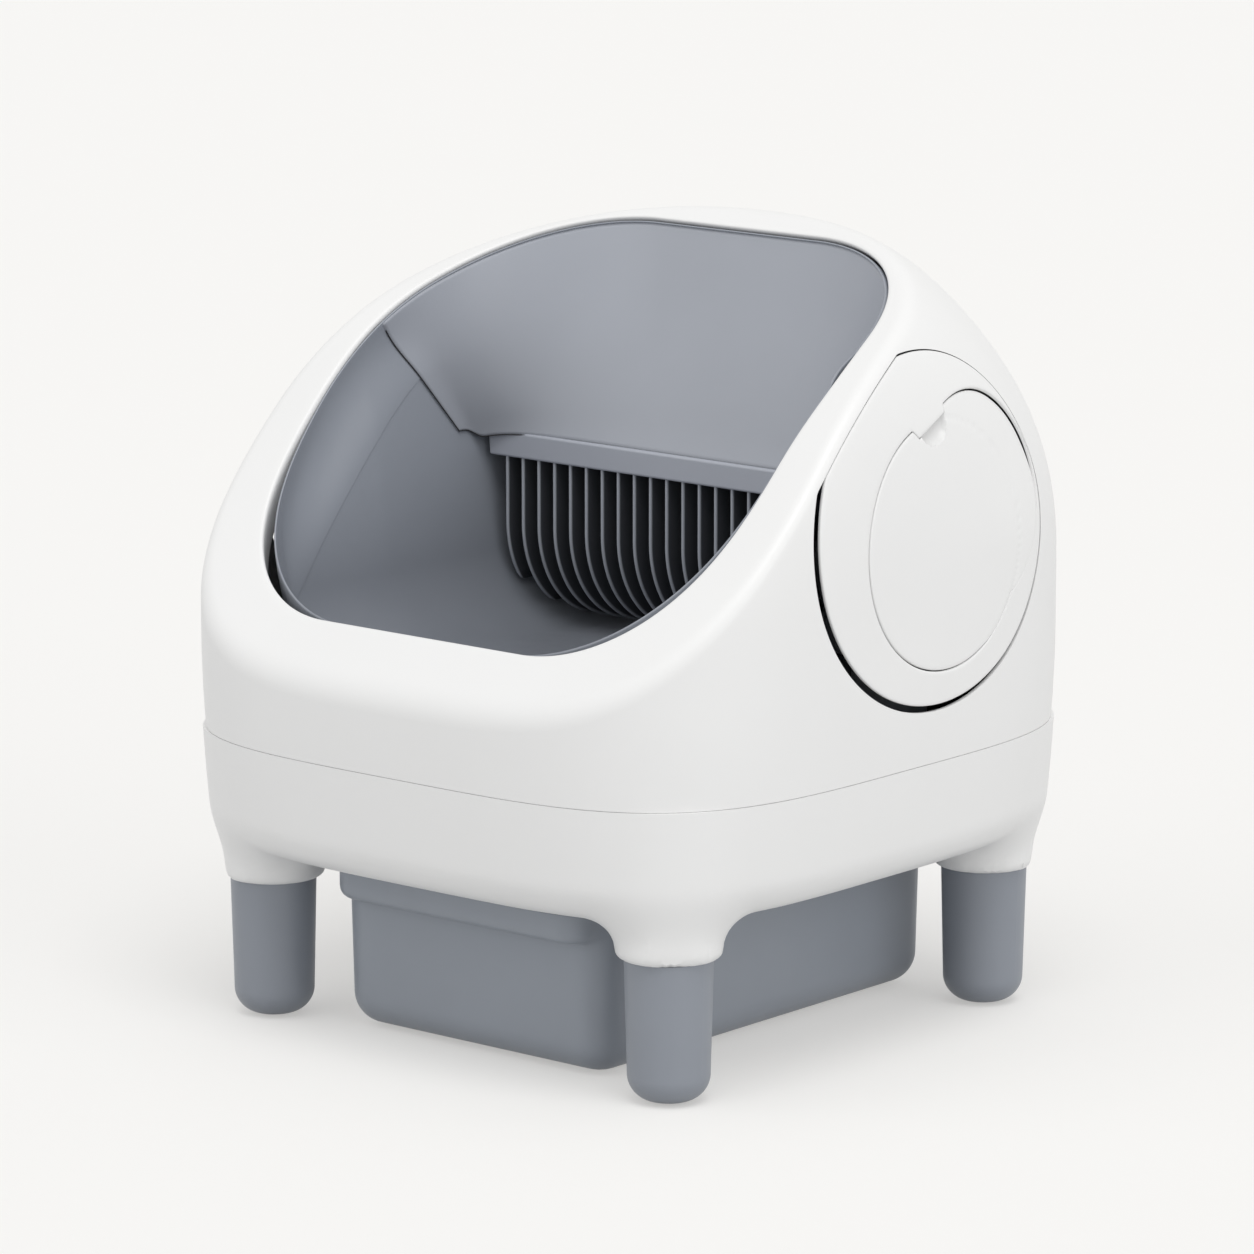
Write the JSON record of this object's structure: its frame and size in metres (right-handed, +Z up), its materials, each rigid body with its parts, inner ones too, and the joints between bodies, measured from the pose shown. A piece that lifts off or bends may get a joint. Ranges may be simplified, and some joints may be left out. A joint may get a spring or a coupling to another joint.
{
  "type": "self-cleaning litter box",
  "caption": "Open-topped litter box on legs: a domed shell holds a motor-turned drum with a sifting comb, and a waste bin slides out from below.",
  "frame": {"origin": "on the floor, below the middle of the body", "axes": "+X to the object's left-to-right as seen from the front, -Y to the front where the opening slopes down and the bin pulls out, +Z up"},
  "size_m": [0.5512, 0.551, 0.5995],
  "materials": {
    "shell_white": "smooth satin moulded plastic",
    "drum_grey": "smooth satin moulded plastic",
    "leg_grey": "smooth satin moulded plastic",
    "bin_grey": "smooth satin moulded plastic",
    "comb_grey": "smooth satin moulded plastic",
    "foot_rubber": "matt",
    "beam_aluminium": "machined",
    "screw_steel": "plated",
    "frame_grey": "moulded",
    "gear_nylon": "moulded",
    "motor_black": "moulded",
    "button_grey": "moulded",
    "board_green": "coated board",
    "post_brass": "turned",
    "magnet_steel": "plated"
  },
  "bodies": {
    "housing": {"upper_shell": "shell_white", "lower_shell": "shell_white", "side_cover_left": "shell_white", "side_cover_right": "shell_white", "leg_front_left": "leg_grey", "leg_front_right": "leg_grey", "leg_rear_left": "leg_grey", "leg_rear_right": "leg_grey", "foot_pads": "foot_rubber", "load_cells": "beam_aluminium", "leg_screws": "screw_steel", "frame_screws": "screw_steel", "motor_screws": "screw_steel", "seam_band": "frame_grey", "waste_chute": "frame_grey", "bin_rail_left": "frame_grey", "bin_rail_right": "frame_grey", "side_frame_left": "frame_grey", "side_frame_right": "frame_grey", "power_bracket": "frame_grey", "bush_left": "gear_nylon", "bush_right": "gear_nylon", "gear_motor": "motor_black", "power_inlet": "motor_black", "power_switch": "motor_black", "index_sensor": "motor_black", "control_board": "board_green", "board_posts": "post_brass"},
    "drum": {"drum_barrel": "drum_grey", "litter_tray": "drum_grey", "drum_hood": "drum_grey", "comb_bar": "comb_grey", "sifting_comb": "comb_grey", "drum_hub_left": "gear_nylon", "drum_hub_right": "gear_nylon", "hub_screws": "screw_steel", "drum_gear": "gear_nylon", "index_magnet": "magnet_steel"},
    "drive": {"drive_pinion": "gear_nylon", "pinion_shaft": "screw_steel"},
    "bin": {"waste_bin": "bin_grey"},
    "lid_left": {"side_lid_left": "shell_white"},
    "lid_right": {"side_lid_right": "shell_white"},
    "button": {"power_button": "button_grey"}
  },
  "joints": [
    {"name": "drum_turn", "type": "hinge", "parent": "housing", "child": "drum", "pos_m": [0, -0.003, 0.386], "axis": [-1, 0, 0], "range_deg": [0, 215]},
    {"name": "pinion_turn", "type": "hinge", "parent": "housing", "child": "drive", "pos_m": [0, -0.08193, 0.29193], "axis": [-1, 0, 0], "range_deg": [-1296, 6]},
    {"name": "bin_slide", "type": "slide", "parent": "housing", "child": "bin", "axis": [0, -1, 0], "range_m": [0, 0.3]},
    {"name": "lid_left_off", "type": "slide", "parent": "housing", "child": "lid_left", "axis": [-1, 0, 0], "range_m": [0, 0.04]},
    {"name": "lid_right_off", "type": "slide", "parent": "housing", "child": "lid_right", "axis": [1, 0, 0], "range_m": [0, 0.04]},
    {"name": "button_press", "type": "slide", "parent": "housing", "child": "button", "axis": [0, -1, 0], "range_m": [0, 0.002], "stiffness_N_per_m": 600}
  ],
  "couplings": [
    {"joint": "pinion_turn", "follows": "drum_turn", "ratio": -6}
  ]
}
